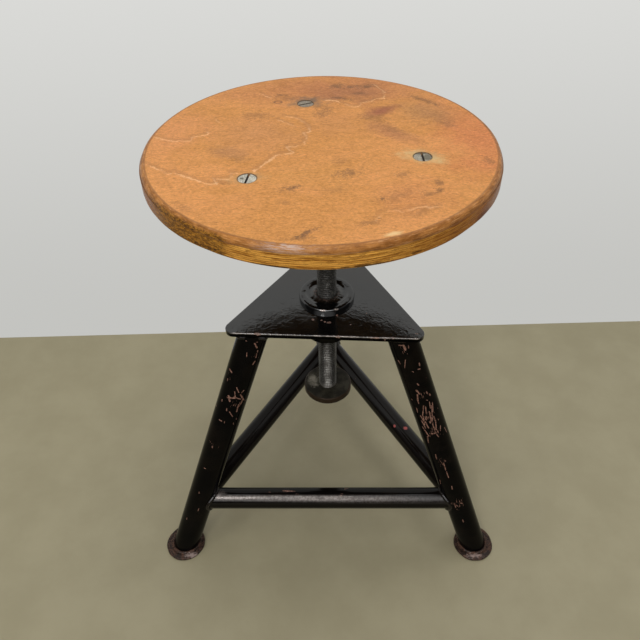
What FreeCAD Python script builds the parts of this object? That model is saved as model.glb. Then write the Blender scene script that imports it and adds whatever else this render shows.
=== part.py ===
import FreeCAD
import Part
import math
import os

# Machinist stool: a round plywood seat on a threaded spindle, in a three-legged frame of welded tube.
# Millimetres, +Z up. The origin is on the floor, under the spindle's axis. The front is -Y.
# The rear leg points to +Y, and the two front legs stand a third of a turn to each side of it.

# Seat board
seat_height = 536.0  # top of the board above the floor, as it stands in the photograph
board_radius = 170.0
board_thickness = 20.0
board_shift = -4.0  # the board was drilled off its centre, so it stands out to the left
edge_moulding = 5.0  # radius of the quarter round at the top edge
edge_step = 1.0  # ledge left outside the quarter round
bottom_round = 2.0

# Slotted countersunk screws that hold the board
screw_circle_radius = 93.0
rear_screw_azimuth = 103.0
screw_head_radius = 8.2
screw_head_land = 0.8  # straight rim of the head above its cone
screw_shank_radius = 4.0
screw_sunk = 0.3  # how far the heads lie under the board's top
screw_past_nut = 3.0
slot_width = 2.0
slot_depth = 2.0
slot_azimuths = (25.0, 82.0, 93.0)  # rear, left and right screw, as they were left
screw_nut_flats = 13.0
screw_nut_height = 6.5
washer_radius = 8.0
washer_thickness = 1.6

# Steel triangle under the board, and the hub that carries it
seat_plate_inradius = 62.0
seat_plate_corner_radius = 10.0
seat_plate_thickness = 6.0
hub_radius = 21.0
hub_height = 32.0
hub_pin_radius = 3.0
hub_pin_past = 1.0
hub_weld = 4.0

# Spindle, its thread and its two stops
spindle_radius = 11.0  # outside the thread
spindle_length = 306.0  # from the seat plate down to the shoulder that the stop disc hangs under
spindle_chamfer = 1.5
tip_radius = 7.0
tip_past_nut = 8.0
stop_disc_radius = 30.0
stop_disc_thickness = 9.0
stop_disc_round = 1.2
stop_nut_flats = 22.0
stop_nut_height = 8.0
stop_pin_radius = 1.6
stop_pin_past = 3.0

# Flanged spindle nut in the frame
collar_radius = 31.5
collar_height = 6.0
collar_round = 2.0
boss_radius = 27.0
boss_bottom = 298.0
nut_mouth = 1.0  # chamfer at both mouths of the nut
nut_weld = 5.0

# Frame plate
plate_top = 348.0
plate_thickness = 6.0
plate_inradius = 66.0
plate_corner_radius = 9.5
plate_edge_round = 0.8
plate_turn = -3.0  # the plate was welded a few degrees out of line with the legs

# Legs, stretchers and feet
rear_leg_azimuth = 90.0
leg_radius = 16.85  # one-inch pipe, 33.7 mm outside
leg_wall = 2.6
leg_foot_circle = 227.0  # where the leg's axis meets the floor
leg_top_circle = 91.0  # where the leg's axis meets the plate
leg_top_weld = 4.5
stretcher_height = 85.5
stretcher_radius = 13.45  # three-quarter-inch pipe, 26.9 mm outside
stretcher_wall = 2.3
stretcher_weld = 3.5
foot_radius = 26.0
foot_thickness = 4.0
foot_round = 1.5
foot_weld = 3.0

# Clearances
running_fit = 0.08  # radial, spindle in its nut
disc_fit = 0.1  # radial, stop disc on the spindle's tip
disc_play = 0.3  # end play of the stop disc
screw_fit = 0.3  # radial, screws in the board, the plate and the washers
thread_fit = 0.03  # radial, between the pieces of a tight thread or a driven pin
seat_fit = 0.02  # between curved faces that are welded together

THIRD_TURN = 360.0 / 3
SIXTH_TURN = 360.0 / 6
V = FreeCAD.Vector
UP = V(0, 0, 1)
CENTRE = V(0, 0, 0)
reach = 3.0 * (leg_foot_circle + foot_radius)
leg_azimuths = {
    "rear": rear_leg_azimuth,
    "left": rear_leg_azimuth + THIRD_TURN,
    "right": rear_leg_azimuth - THIRD_TURN,
}

# Levels that follow from the sizes above
board_bottom = seat_height - board_thickness
seat_plate_bottom = board_bottom - seat_plate_thickness
plate_bottom = plate_top - plate_thickness
collar_top = plate_top + collar_height
hub_bottom = seat_plate_bottom - hub_height
disc_top = seat_plate_bottom - spindle_length
disc_bottom = disc_top - stop_disc_thickness
stop_nut_top = disc_bottom - disc_play
stop_nut_bottom = stop_nut_top - stop_nut_height
tip_bottom = stop_nut_bottom - tip_past_nut


def save(name, shape):
    shape.exportStep("parts/" + name + ".step")


def at(azimuth, radius, z=0.0):
    """A point given by its compass angle round the spindle, its distance from the axis and its height."""
    turn = math.radians(azimuth)
    return V(radius * math.cos(turn), radius * math.sin(turn), z)


def upright(radius, low, high, centre=CENTRE):
    """A vertical cylinder between two levels."""
    return Part.makeCylinder(radius, high - low, V(centre.x, centre.y, low), UP)


def rod(start, end, radius, extra=0.0):
    """A round bar from one point to another, run on past both by extra."""
    along = (end - start).normalize()
    return Part.makeCylinder(radius, (end - start).Length + 2 * extra, start - along * extra, along)


def slab(low, high):
    """All the space between two levels."""
    return Part.makeBox(2 * reach, 2 * reach, high - low, V(-reach, -reach, low))


def turned(points):
    """A solid turned round the Z axis from a closed outline. A point is (radius, z).

    Where an outline item is a pair of points, the stretch to it is an arc through the first of them.
    """
    edges = []
    last = V(points[0][0], 0, points[0][1])
    for item in points[1:] + points[:1]:
        if isinstance(item[0], tuple):
            middle = V(item[0][0], 0, item[0][1])
            end = V(item[1][0], 0, item[1][1])
            edges.append(Part.Arc(last, middle, end).toShape())
        else:
            end = V(item[0], 0, item[1])
            edges.append(Part.LineSegment(last, end).toShape())
        last = end
    return Part.Face(Part.Wire(edges)).revolve(CENTRE, UP, 360)


def quarter(centre_r, centre_z, radius, start_deg, end_deg):
    """An outline item that rounds a corner: the arc's middle and its end, from its centre."""
    half = math.radians((start_deg + end_deg) / 2)
    last = math.radians(end_deg)
    middle = (centre_r + radius * math.cos(half), centre_z + radius * math.sin(half))
    end = (centre_r + radius * math.cos(last), centre_z + radius * math.sin(last))
    return (middle, end)


def rounded_triangle(inradius, corner_radius, low, high, azimuth):
    """An upright plate with three equal sides and round corners, one of them at the azimuth."""
    edges = []
    previous = None
    first = None
    for number in range(3):
        corner = azimuth + THIRD_TURN * number
        centre = at(corner, 2 * (inradius - corner_radius), low)
        start = centre + at(corner - SIXTH_TURN, corner_radius)
        middle = centre + at(corner, corner_radius)
        end = centre + at(corner + SIXTH_TURN, corner_radius)
        if previous is None:
            first = start
        else:
            edges.append(Part.LineSegment(previous, start).toShape())
        edges.append(Part.Arc(start, middle, end).toShape())
        previous = end
    edges.append(Part.LineSegment(previous, first).toShape())
    return Part.Face(Part.Wire(edges)).extrude(V(0, 0, high - low))


def eased(plate, radius, low, high):
    """The plate with the edges of its two flat faces rounded."""
    edges = []
    for edge in plate.Edges:
        levels = {round(vertex.Z, 4) for vertex in edge.Vertexes}
        if levels == {round(low, 4)} or levels == {round(high, 4)}:
            edges.append(edge)
    return plate.makeFillet(radius, edges)


def hexagon_nut(flats, bore_radius, low, high, centre, azimuth=0.0):
    """A hexagon nut with its corners turned off at both faces."""
    corner = flats / math.sqrt(3)
    points = [centre + at(azimuth + SIXTH_TURN * side, corner, low) for side in range(7)]
    nut = Part.Face(Part.makePolygon(points)).extrude(V(0, 0, high - low))
    bevel = (corner - flats / 2) * math.tan(math.radians(30))
    lathe = turned([
        (0, low),
        (flats / 2, low),
        (corner, low + bevel),
        (corner, high - bevel),
        (flats / 2, high),
        (0, high),
    ])
    lathe.translate(V(centre.x, centre.y, 0))
    return nut.common(lathe).cut(upright(bore_radius, low - 1, high + 1, centre))


def screw_places():
    """The rear, left and right screw's centre."""
    return [at(rear_screw_azimuth + THIRD_TURN * number, screw_circle_radius) for number in range(3)]


def screw_body(gap, top, bottom):
    """The outline of a countersunk screw, grown all round by gap. It stands on the Z axis."""
    head = screw_head_radius + gap
    shank = screw_shank_radius + gap
    neck = top - screw_head_land - (head - shank)
    return turned([
        (0, bottom),
        (shank, bottom),
        (shank, neck),
        (head, top - screw_head_land),
        (head, top),
        (0, top),
    ])


def seat_board():
    """The plywood board: flat top, quarter-round moulding over a small ledge, upright side."""
    ledge_z = seat_height - edge_moulding
    moulding_r = board_radius - edge_step - edge_moulding
    board = turned([
        (0, board_bottom),
        (board_radius - bottom_round, board_bottom),
        quarter(board_radius - bottom_round, board_bottom + bottom_round, bottom_round, -90, 0),
        (board_radius, ledge_z),
        (board_radius - edge_step, ledge_z),
        quarter(moulding_r, ledge_z, edge_moulding, 0, 90),
        (0, seat_height),
    ])
    board.translate(V(board_shift, 0, 0))
    for place in screw_places():
        hole = screw_body(screw_fit, seat_height - screw_sunk, board_bottom - 1)
        mouth = upright(screw_head_radius + screw_fit, seat_height - screw_sunk, seat_height + 1)
        hole = hole.fuse(mouth)
        hole.translate(place)
        board = board.cut(hole)
    save("seat_board", board)


def seat_screws():
    """Three slotted countersunk screws through the board, the plate, the washers and the nuts."""
    head_top = seat_height - screw_sunk
    end = seat_plate_bottom - washer_thickness - screw_nut_height - screw_past_nut
    screws = []
    for place, azimuth in zip(screw_places(), slot_azimuths):
        screw = screw_body(0.0, head_top, end)
        slot = Part.makeBox(
            4 * screw_head_radius,
            slot_width,
            slot_depth + 1,
            V(-2 * screw_head_radius, -slot_width / 2, head_top - slot_depth),
        )
        slot.rotate(CENTRE, UP, azimuth)
        screw = screw.cut(slot)
        screw.translate(place)
        screws.append(screw)
    save("seat_screws", Part.makeCompound(screws))


def seat_nuts_and_washers():
    """A washer and a hexagon nut on each seat screw, under the seat plate."""
    washer_bottom = seat_plate_bottom - washer_thickness
    washers = []
    nuts = []
    for place in screw_places():
        washer = upright(washer_radius, washer_bottom, seat_plate_bottom, place)
        hole = upright(screw_shank_radius + screw_fit, washer_bottom - 1, seat_plate_bottom + 1, place)
        washers.append(washer.cut(hole))
        nuts.append(
            hexagon_nut(
                screw_nut_flats,
                screw_shank_radius + thread_fit,
                washer_bottom - screw_nut_height,
                washer_bottom,
                place,
                rear_screw_azimuth,
            )
        )
    save("seat_washers", Part.makeCompound(washers))
    save("seat_nuts", Part.makeCompound(nuts))


def seat_plate():
    """The steel triangle that the board is screwed to."""
    plate = rounded_triangle(
        seat_plate_inradius,
        seat_plate_corner_radius,
        seat_plate_bottom,
        board_bottom,
        rear_screw_azimuth,
    )
    plate = eased(plate, plate_edge_round, seat_plate_bottom, board_bottom)
    for place in screw_places():
        hole_radius = screw_shank_radius + screw_fit
        plate = plate.cut(upright(hole_radius, seat_plate_bottom - 1, board_bottom + 1, place))
    save("seat_plate", plate)


def hub_pin_line(past):
    """The cross pin's two ends, through the middle of the hub."""
    level = (hub_bottom + seat_plate_bottom) / 2
    return at(rear_screw_azimuth, hub_radius + past, level), at(rear_screw_azimuth, -hub_radius - past, level)


def seat_hub():
    """The socket welded under the seat plate, with the spindle pinned in it, and its weld."""
    hub = turned([
        (spindle_radius + thread_fit, hub_bottom),
        (hub_radius - spindle_chamfer, hub_bottom),
        (hub_radius, hub_bottom + spindle_chamfer),
        (hub_radius, seat_plate_bottom),
        (spindle_radius + thread_fit, seat_plate_bottom),
    ])
    hub = hub.cut(rod(*hub_pin_line(5.0), hub_pin_radius + thread_fit))
    save("seat_hub", hub)
    save("hub_pin", rod(*hub_pin_line(hub_pin_past), hub_pin_radius))
    bead = turned([
        (hub_radius + seat_fit, seat_plate_bottom - hub_weld),
        (hub_radius + seat_fit, seat_plate_bottom),
        (hub_radius + seat_fit + hub_weld, seat_plate_bottom),
    ])
    save("hub_weld", bead)


def spindle():
    """The screw: its thread's outer diameter as a plain shaft, and a turned-down tip for the stop."""
    shaft = turned([
        (0, tip_bottom),
        (tip_radius - spindle_chamfer, tip_bottom),
        (tip_radius, tip_bottom + spindle_chamfer),
        (tip_radius, disc_top),
        (spindle_radius - spindle_chamfer, disc_top),
        (spindle_radius, disc_top + spindle_chamfer),
        (spindle_radius, seat_plate_bottom - seat_fit),
        (0, seat_plate_bottom - seat_fit),
    ])
    shaft = shaft.cut(rod(*hub_pin_line(5.0), hub_pin_radius + thread_fit))
    shaft = shaft.cut(rod(*stop_pin_line(5.0), stop_pin_radius + thread_fit))
    save("spindle", shaft)


def stop_pin_line(past):
    """The cross pin's two ends, through the spindle's tip just under the nut."""
    level = stop_nut_bottom - stop_pin_radius - disc_play
    return at(0.0, tip_radius + past, level), at(0.0, -tip_radius - past, level)


def spindle_stop():
    """The stop disc on the spindle's tip, with the nut and the pin that keep it there."""
    inner = tip_radius + disc_fit
    rim = stop_disc_radius - stop_disc_round
    disc = turned([
        (inner, disc_bottom),
        (rim, disc_bottom),
        quarter(rim, disc_bottom + stop_disc_round, stop_disc_round, -90, 0),
        (stop_disc_radius, disc_top - stop_disc_round),
        quarter(rim, disc_top - stop_disc_round, stop_disc_round, 0, 90),
        (inner, disc_top),
    ])
    disc.translate(V(0, 0, -disc_play / 2))
    save("stop_disc", disc)
    nut = hexagon_nut(stop_nut_flats, tip_radius + thread_fit, stop_nut_bottom, stop_nut_top, CENTRE)
    save("stop_nut", nut)
    save("stop_pin", rod(*stop_pin_line(stop_pin_past), stop_pin_radius))


def spindle_nut():
    """The flanged nut: a collar on the frame plate and a boss through it, and the weld below."""
    bore = spindle_radius + running_fit
    rim = collar_radius - collar_round
    nut = turned([
        (bore, boss_bottom + nut_mouth),
        (bore + nut_mouth, boss_bottom),
        (boss_radius, boss_bottom),
        (boss_radius, plate_top),
        (collar_radius, plate_top),
        (collar_radius, collar_top - collar_round),
        quarter(rim, collar_top - collar_round, collar_round, 0, 90),
        (bore + nut_mouth, collar_top),
        (bore, collar_top - nut_mouth),
    ])
    save("spindle_nut", nut)
    bead = turned([
        (boss_radius + seat_fit, plate_bottom - nut_weld),
        (boss_radius + seat_fit, plate_bottom),
        (boss_radius + seat_fit + nut_weld, plate_bottom),
    ])
    save("nut_weld", bead)


def frame_plate():
    """The triangular plate that the legs and the nut are welded to."""
    plate = rounded_triangle(
        plate_inradius,
        plate_corner_radius,
        plate_bottom,
        plate_top,
        leg_azimuths["rear"] + plate_turn,
    )
    plate = eased(plate, plate_edge_round, plate_bottom, plate_top)
    plate = plate.cut(upright(boss_radius + seat_fit, plate_bottom - 1, plate_top + 1))
    save("frame_plate", plate)


def leg_line(name):
    """The two ends of a leg's axis: on the floor and at the plate's underside."""
    azimuth = leg_azimuths[name]
    return at(azimuth, leg_foot_circle, 0), at(azimuth, leg_top_circle, plate_bottom)


def leg_body(name, radius, low, high):
    """A leg's cylinder, cut level at two heights."""
    return rod(*leg_line(name), radius, 4 * leg_radius).common(slab(low, high))


def legs():
    """Three splayed tubes between the feet and the plate, with a weld bead at each end."""
    under_plate = rounded_triangle(
        plate_inradius,
        plate_corner_radius,
        plate_bottom - leg_top_weld,
        plate_bottom,
        leg_azimuths["rear"] + plate_turn,
    )
    top_beads = []
    foot_beads = []
    for name in leg_azimuths:
        bore = rod(*leg_line(name), leg_radius - leg_wall, 5 * leg_radius)
        save("leg_" + name, leg_body(name, leg_radius, foot_thickness, plate_bottom).cut(bore))
        core = rod(*leg_line(name), leg_radius + seat_fit, 5 * leg_radius)
        top = leg_body(name, leg_radius + leg_top_weld, plate_bottom - leg_top_weld, plate_bottom)
        top_beads.append(top.common(under_plate).cut(core))
        foot = leg_body(name, leg_radius + foot_weld, foot_thickness, foot_thickness + foot_weld)
        foot_beads.append(foot.cut(core))
    save("leg_top_welds", Part.makeCompound(top_beads))
    save("foot_welds", Part.makeCompound(foot_beads))


def feet():
    """A round steel disc under each leg."""
    rim = foot_radius - foot_round
    for name, azimuth in leg_azimuths.items():
        foot = turned([
            (0, 0),
            (foot_radius, 0),
            (foot_radius, foot_thickness - foot_round),
            quarter(rim, foot_thickness - foot_round, foot_round, 0, 90),
            (0, foot_thickness),
        ])
        foot.translate(at(azimuth, leg_foot_circle))
        save("foot_" + name, foot)


def joint_of(name):
    """Where the axes of a leg and its stretchers meet."""
    foot, top = leg_line(name)
    return foot + (top - foot) * (stretcher_height / plate_bottom)


def between(first, second, gap):
    """The upright wedge of space that runs from the spindle's axis out to two legs, less a gap."""
    one = joint_of(first)
    other = joint_of(second)
    corners = [CENTRE, one * 2, other * 2, CENTRE]
    flat = [V(corner.x, corner.y, 0) for corner in corners]
    wedge = Part.Face(Part.makePolygon(flat)).extrude(V(0, 0, plate_top))
    inward = (flat[1] + flat[2]).normalize() * (2 * gap)
    wedge.translate(inward)
    return wedge


def stretchers():
    """Three level tubes between the legs, coped to them and mitred where two of them meet."""
    sides = {"front": ("left", "right"), "right": ("right", "rear"), "left": ("rear", "left")}
    beads = []
    for side, (first, second) in sides.items():
        line = joint_of(first), joint_of(second)
        legs_here = [rod(*leg_line(name), leg_radius + seat_fit, 4 * leg_radius) for name in (first, second)]
        tube = rod(*line, stretcher_radius).cut(rod(*line, stretcher_radius - stretcher_wall, 1.0))
        tube = tube.common(between(first, second, seat_fit))
        bar = rod(*line, stretcher_radius + seat_fit)
        ring = rod(*line, stretcher_radius + stretcher_weld).cut(bar)
        ring = ring.common(between(first, second, seat_fit))
        for name, leg in zip((first, second), legs_here):
            tube = tube.cut(leg)
            shell = rod(*leg_line(name), leg_radius + stretcher_weld, 4 * leg_radius).cut(leg)
            beads.append(ring.common(shell))
        save("stretcher_" + side, tube)
    save("stretcher_welds", Part.makeCompound(beads))


os.makedirs("parts", exist_ok=True)
seat_board()
seat_screws()
seat_nuts_and_washers()
seat_plate()
seat_hub()
spindle()
spindle_stop()
spindle_nut()
frame_plate()
legs()
feet()
stretchers()
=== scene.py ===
# %% [markdown]
# # A workshop stool, dressed for its photograph
# The CAD model gives every part of the stool its size and its place: a round plywood seat on a threaded
# spindle, a nut in a three-cornered plate, three splayed tube legs, three stretchers and three disc feet.
# This lesson loads that model as a fixed frame and gives it the looks of an old stool that has stood in a
# machine shop for decades: worn veneer, chipped black enamel, rusty feet and a greasy screw.

# %% Load the CAD frame
import bpy, bmesh, math
from mathutils import Matrix, Vector, noise


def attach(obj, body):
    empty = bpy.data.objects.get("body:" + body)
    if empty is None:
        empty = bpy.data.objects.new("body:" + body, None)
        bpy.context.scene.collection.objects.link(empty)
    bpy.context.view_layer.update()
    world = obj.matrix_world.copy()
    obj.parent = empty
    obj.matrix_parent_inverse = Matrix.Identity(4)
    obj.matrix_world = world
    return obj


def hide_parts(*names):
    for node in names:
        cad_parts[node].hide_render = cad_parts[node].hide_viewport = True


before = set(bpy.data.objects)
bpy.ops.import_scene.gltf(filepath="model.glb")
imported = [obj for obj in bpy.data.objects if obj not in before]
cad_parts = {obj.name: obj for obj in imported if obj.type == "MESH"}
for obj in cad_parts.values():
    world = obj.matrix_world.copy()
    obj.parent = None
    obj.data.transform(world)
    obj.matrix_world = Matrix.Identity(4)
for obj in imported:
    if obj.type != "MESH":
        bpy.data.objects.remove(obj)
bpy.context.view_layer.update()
scene = bpy.context.scene
scene.view_settings.view_transform = "Standard"
MM = 0.001   # one millimetre, in metres


# %% Sizes that the frame gives
def corners(node):
    """The lowest and the highest x, y and z of a CAD node, in millimetres. They are rounded to a tenth,
    because the points of a round part don't all reach its full width."""
    columns = list(zip(*(v.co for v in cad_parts[node].data.vertices)))
    return [[round(far(column) / MM, 1) for column in columns] for far in (min, max)]


(seat_left, _, SEAT_UNDER), (seat_right, _, FACE) = corners("seat_board")
SEAT_RIM = (seat_right - seat_left) / 2
SHIFT = (seat_left + seat_right) / 2   # how far the board sits off the spindle's axis
PLATE_UNDER, PLATE_TOP = (corner[2] for corner in corners("frame_plate"))
FOOT_CIRCLE = sum(corner[1] for corner in corners("foot_rear")) / 2
print("seat from", SEAT_UNDER, "to", FACE, "radius", SEAT_RIM, "off the axis by", SHIFT)
print("plate from", PLATE_UNDER, "to", PLATE_TOP, "feet on a circle of", FOOT_CIRCLE)

# %% [markdown]
# ## Camera
# The photograph was taken from standing height, close in front of the stool, looking down at 42 degrees. Its
# place comes from a fit of the stool's known edges to the picture. A camera can be turned by three angles or
# by a matrix of its own axes. The axes are clearer here: right, up, and the way it looks.

# %% The camera, at the photograph's place
yaw, pitch, roll = math.radians(-1.353), math.radians(42.128), math.radians(-1.225)
look = Vector((math.sin(yaw) * math.cos(pitch), math.cos(yaw) * math.cos(pitch), -math.sin(pitch)))
level = Vector((math.cos(yaw), -math.sin(yaw), 0))
upright = level.cross(look)
across = level * math.cos(roll) + upright * math.sin(roll)
top = upright * math.cos(roll) - level * math.sin(roll)
camera = bpy.data.objects.new("camera", bpy.data.cameras.new("camera"))
scene.collection.objects.link(camera)
camera.data.lens = camera.data.sensor_width = 36.0
turned = Matrix((across, top, -look)).transposed().to_4x4()
camera.matrix_world = Matrix.Translation(Vector((4.84, -560.12, 818.08)) * MM) @ turned
scene.camera = camera
print("camera looks along", [round(v, 3) for v in look])

# %% [markdown]
# ## Small tools for node trees
# A material is a tree of nodes. Typing out every node and link hides the idea behind the wiring, so a few
# short helpers do it: one places any node, and the others give the sums, the mixes and the noise that every
# finish needs. Each takes plain numbers or another node's output, and works on the tree that is being built,
# which is always called `tree`.

# %% Placing and feeding nodes
def begin(owner):
    """Empties the tree of a material or a world, and makes it the one that is being built."""
    global tree
    owner.use_nodes = True
    tree = owner.node_tree
    tree.nodes.clear()


def feed(socket, value):
    """Links an input to another node's output, or sets it to a plain value."""
    if isinstance(value, bpy.types.NodeSocket):
        tree.links.new(value, socket)
    else:
        socket.default_value = value


def put(kind, values=None, **settings):
    """Places a node, sets its options, and feeds its inputs."""
    node = tree.nodes.new(kind)
    for key, value in settings.items():
        setattr(node, key, value)
    for key, value in (values or {}).items():
        feed(node.inputs[key], value)
    return node


# %% Sums and mixes
def calc(operation, *values, clamp=False):
    """One sum on numbers."""
    return put("ShaderNodeMath", dict(enumerate(values)), operation=operation, use_clamp=clamp).outputs[0]


def times(first, second, rest=None, clamp=False):
    """The product of two numbers, to which a third can be added."""
    if rest is None:
        return calc("MULTIPLY", first, second)
    return calc("MULTIPLY_ADD", first, second, rest, clamp=clamp)


def vector(operation, *values):
    """One sum on vectors. Lengths, distances and products come out of the second socket."""
    node = put("ShaderNodeVectorMath", operation=operation)
    for index, value in enumerate(values):
        feed(node.inputs["Scale" if operation == "SCALE" and index == 1 else index], value)
    return node.outputs[1 if operation in ("LENGTH", "DISTANCE", "DOT_PRODUCT") else 0]


def blend(amount, first, second, way="MIX"):
    """Mixes two colours. A colour is an output or three numbers."""
    full = [c if isinstance(c, bpy.types.NodeSocket) else (*c, 1.0) for c in (first, second)]
    values = {0: amount, 6: full[0], 7: full[1]}
    return put("ShaderNodeMix", values, data_type="RGBA", blend_type=way).outputs[2]


def tinted(color, mask, strength, tint):
    """A colour with a tint laid over it where the mask says."""
    return blend(times(mask, strength), color, tint)


def axes_of(place):
    """The x, y and z of a place."""
    return put("ShaderNodeSeparateXYZ", {0: place}).outputs


def from_spindle(place, centre=None):
    """How far a point is from the spindle's axis, or from another upright line."""
    if centre:
        place = vector("SUBTRACT", place, centre)
    return vector("LENGTH", vector("MULTIPLY", place, (1, 1, 0)))


# %% Soft steps and noise
def ramp(value, low, high, start=0.0, end=1.0):
    """Maps a value from low..high to start..end with soft ends."""
    values = {0: value, 1: low, 2: high, 3: start, 4: end}
    return put("ShaderNodeMapRange", values, interpolation_type="SMOOTHSTEP").outputs[0]


def near(value, middle, reach, fade, strength):
    """Strongest where a value is close to the middle, and gone once it is further off than the fade."""
    off = calc("ABSOLUTE", calc("SUBTRACT", value, middle))
    return ramp(off, reach, fade, strength, 0.0)


def cloud(place, scale, detail, rough, warp=0.0):
    """Noise from 0 to 1. Scale is in waves per millimetre."""
    values = {"Vector": place, "Scale": scale, "Detail": detail, "Roughness": rough, "Distortion": warp}
    return put("ShaderNodeTexNoise", values).outputs[0]


def stretched(place, x, y, z, shift=0.0):
    """The same place with each axis scaled, which draws a pattern out along one way."""
    values = {"Vector": place, "Scale": (x, y, z), "Location": (shift, shift, shift)}
    return put("ShaderNodeMapping", values).outputs[0]


# %% A new finish, and its links to the shader
def new_finish(name):
    """A material with one Principled shader. Gives its shader too, and the place in millimetres."""
    finish = bpy.data.materials.new(name)
    begin(finish)
    print("finish", name)
    shader = put("ShaderNodeBsdfPrincipled")
    put("ShaderNodeOutputMaterial", {"Surface": shader.outputs[0]})
    place = vector("SCALE", put("ShaderNodeTexCoord").outputs["Object"], 1000.0)
    return finish, shader, place


def connect(shader, color, rough=None, metal=None, height=None, relief=0.1):
    """Links what a finish worked out to its shader. Relief is the bump's depth in millimetres."""
    for label, value in (("Base Color", color), ("Roughness", rough), ("Metallic", metal)):
        if value is not None:
            feed(shader.inputs[label], value)
    if height is not None:
        bump = put("ShaderNodeBump", {"Height": height, "Strength": 1.0, "Distance": relief * MM})
        feed(shader.inputs["Normal"], bump.outputs[0])


# %% [markdown]
# ## Effects that several finishes share
# Wear repeats itself on a real object: stains are soft patches with ragged borders, and paint goes first
# where an edge sticks out. Each such effect is built once as a node group with named sockets, and a finish
# that needs it only names its own values. A picture could do the same, but it would fit one object at one
# size.

# %% A group with named sockets
NUMBER, VECTOR, COLOR = "NodeSocketFloat", "NodeSocketVector", "NodeSocketColor"
ORIGIN = (0, 0, 0)


def new_group(name, outputs, **inputs):
    """Begins a group and gives it, what goes into it, and what comes out. Each input is named with the value
    that it has when nothing feeds it. All outputs are numbers, except the one called Color."""
    global tree
    tree = bpy.data.node_groups.new(name, "ShaderNodeTree")
    for label, value in inputs.items():
        kind = VECTOR if isinstance(value, tuple) else NUMBER
        tree.interface.new_socket(name=label, in_out="INPUT", socket_type=kind).default_value = value
    for label in outputs:
        kind = COLOR if label == "Color" else NUMBER
        tree.interface.new_socket(name=label, in_out="OUTPUT", socket_type=kind)
    print("group", name, "takes", *inputs, "and gives", *outputs)
    return tree, put("NodeGroupInput").outputs, put("NodeGroupOutput").inputs


def use(group, output, **values):
    """Places a group, feeds it, and gives one of its outputs."""
    return put("ShaderNodeGroup", values, node_tree=group).outputs[output]


# %% Stain: a soft patch with a ragged border
stain, given, out = new_group("stain", ["Mask"], Place=ORIGIN, Border=0.0, Centre=ORIGIN, Size=(10, 10, 10),
                              Turn=0.0, Ragged=0.5, Soft=0.5)
arm = vector("SUBTRACT", given["Place"], given["Centre"])
arm = {"Vector": arm, "Angle": given["Turn"]}
arm = put("ShaderNodeVectorRotate", arm, rotation_type="Z_AXIS").outputs[0]
reach = vector("LENGTH", vector("DIVIDE", arm, given["Size"]))
reach = times(times(given["Border"], given["Ragged"]), 3.0, reach)
inner = calc("SUBTRACT", 1.0, given["Soft"])
feed(out["Mask"], ramp(reach, inner, 1.0, 1.0, 0.0))


def border(place, grain):
    """Noise round zero that many stains share for their ragged borders."""
    return calc("SUBTRACT", cloud(place, grain, 4.0, 0.65), 0.5)


def after(place, color):
    """The same place, but worked out after a colour. The renderer can hold only some hundred values at a
    time, and a long row of stains would all start at once. A millionth of the last colour makes each wait."""
    return vector("MULTIPLY_ADD", color, (1e-6, 1e-6, 1e-6), place)


def stained(place, edge, color, spot, tint):
    """One stain on a colour: spot is x, y, half width, half depth, turn in degrees, strength, ragged."""
    x, y, wide, deep, angle, strength, uneven = spot
    mask = use(stain, "Mask", Place=after(place, color), Border=edge, Centre=(x, y, FACE),
               Size=(wide, deep, 30), Turn=-math.radians(angle), Ragged=uneven, Soft=0.95)
    return tinted(color, mask, strength, tint)


# %% Line reach: how far a point is from a straight stretch
line_reach, given, out = new_group("line_reach", ["Distance"], Place=ORIGIN, Start=ORIGIN, End=(1, 0, 0))
arm = vector("SUBTRACT", given["Place"], given["Start"])
span = vector("SUBTRACT", given["End"], given["Start"])
share = calc("DIVIDE", vector("DOT_PRODUCT", arm, span), vector("DOT_PRODUCT", span, span), clamp=True)
apart = vector("SUBTRACT", arm, vector("SCALE", span, share))
feed(out["Distance"], vector("LENGTH", apart))


def drawn(place, points, z, width):
    """A fine line through points of a level plane, as a mask that fades over its width."""
    nearest = 1000.0
    for first, second in zip(points, points[1:]):
        reach = use(line_reach, "Distance", Place=place, Start=(*first, z), End=(*second, z))
        nearest = calc("MINIMUM", nearest, reach)
    return ramp(nearest, 0.0, width, 1.0, 0.0)


# %% Edge wear: where a worn corner shows through
edge_wear, given, out = new_group("edge_wear", ["Mask"], Place=ORIGIN, Width=1.0, Amount=0.5, Patch=0.08)
rounded = put("ShaderNodeBevel", {"Radius": times(given["Width"], MM)}, samples=6)
flat = put("ShaderNodeNewGeometry").outputs["Normal"]
turn_away = calc("SUBTRACT", 1.0, vector("DOT_PRODUCT", rounded.outputs[0], flat))
bitten = times(cloud(given["Place"], given["Patch"], 5.0, 0.7), 1.6)
worn = times(times(turn_away, 9.0), bitten)
worn = calc("ADD", worn, calc("SUBTRACT", given["Amount"], 1.0))
feed(out["Mask"], ramp(worn, 0.15, 0.45))

# %% Rust: blotches of three browns
rust, given, out = new_group("rust", ["Color", "Height"], Place=ORIGIN, Scale=0.3)
blotch = cloud(given["Place"], given["Scale"], 6.0, 0.7)
fine = cloud(given["Place"], times(given["Scale"], 5.0), 4.0, 0.7)
brown = blend(ramp(blotch, 0.35, 0.65), (0.026, 0.014, 0.01), (0.09, 0.044, 0.027))
brown = blend(ramp(fine, 0.54, 0.72, 0.0, 0.7), brown, (0.23, 0.125, 0.078))
feed(out["Color"], brown)
feed(out["Height"], calc("ADD", times(blotch, 0.6), times(fine, 0.4)))


def rusted(place, scale):
    """Places the rust group. Its outputs are a colour and a height."""
    return put("ShaderNodeGroup", {"Place": place, "Scale": scale}, node_tree=rust)


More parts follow.
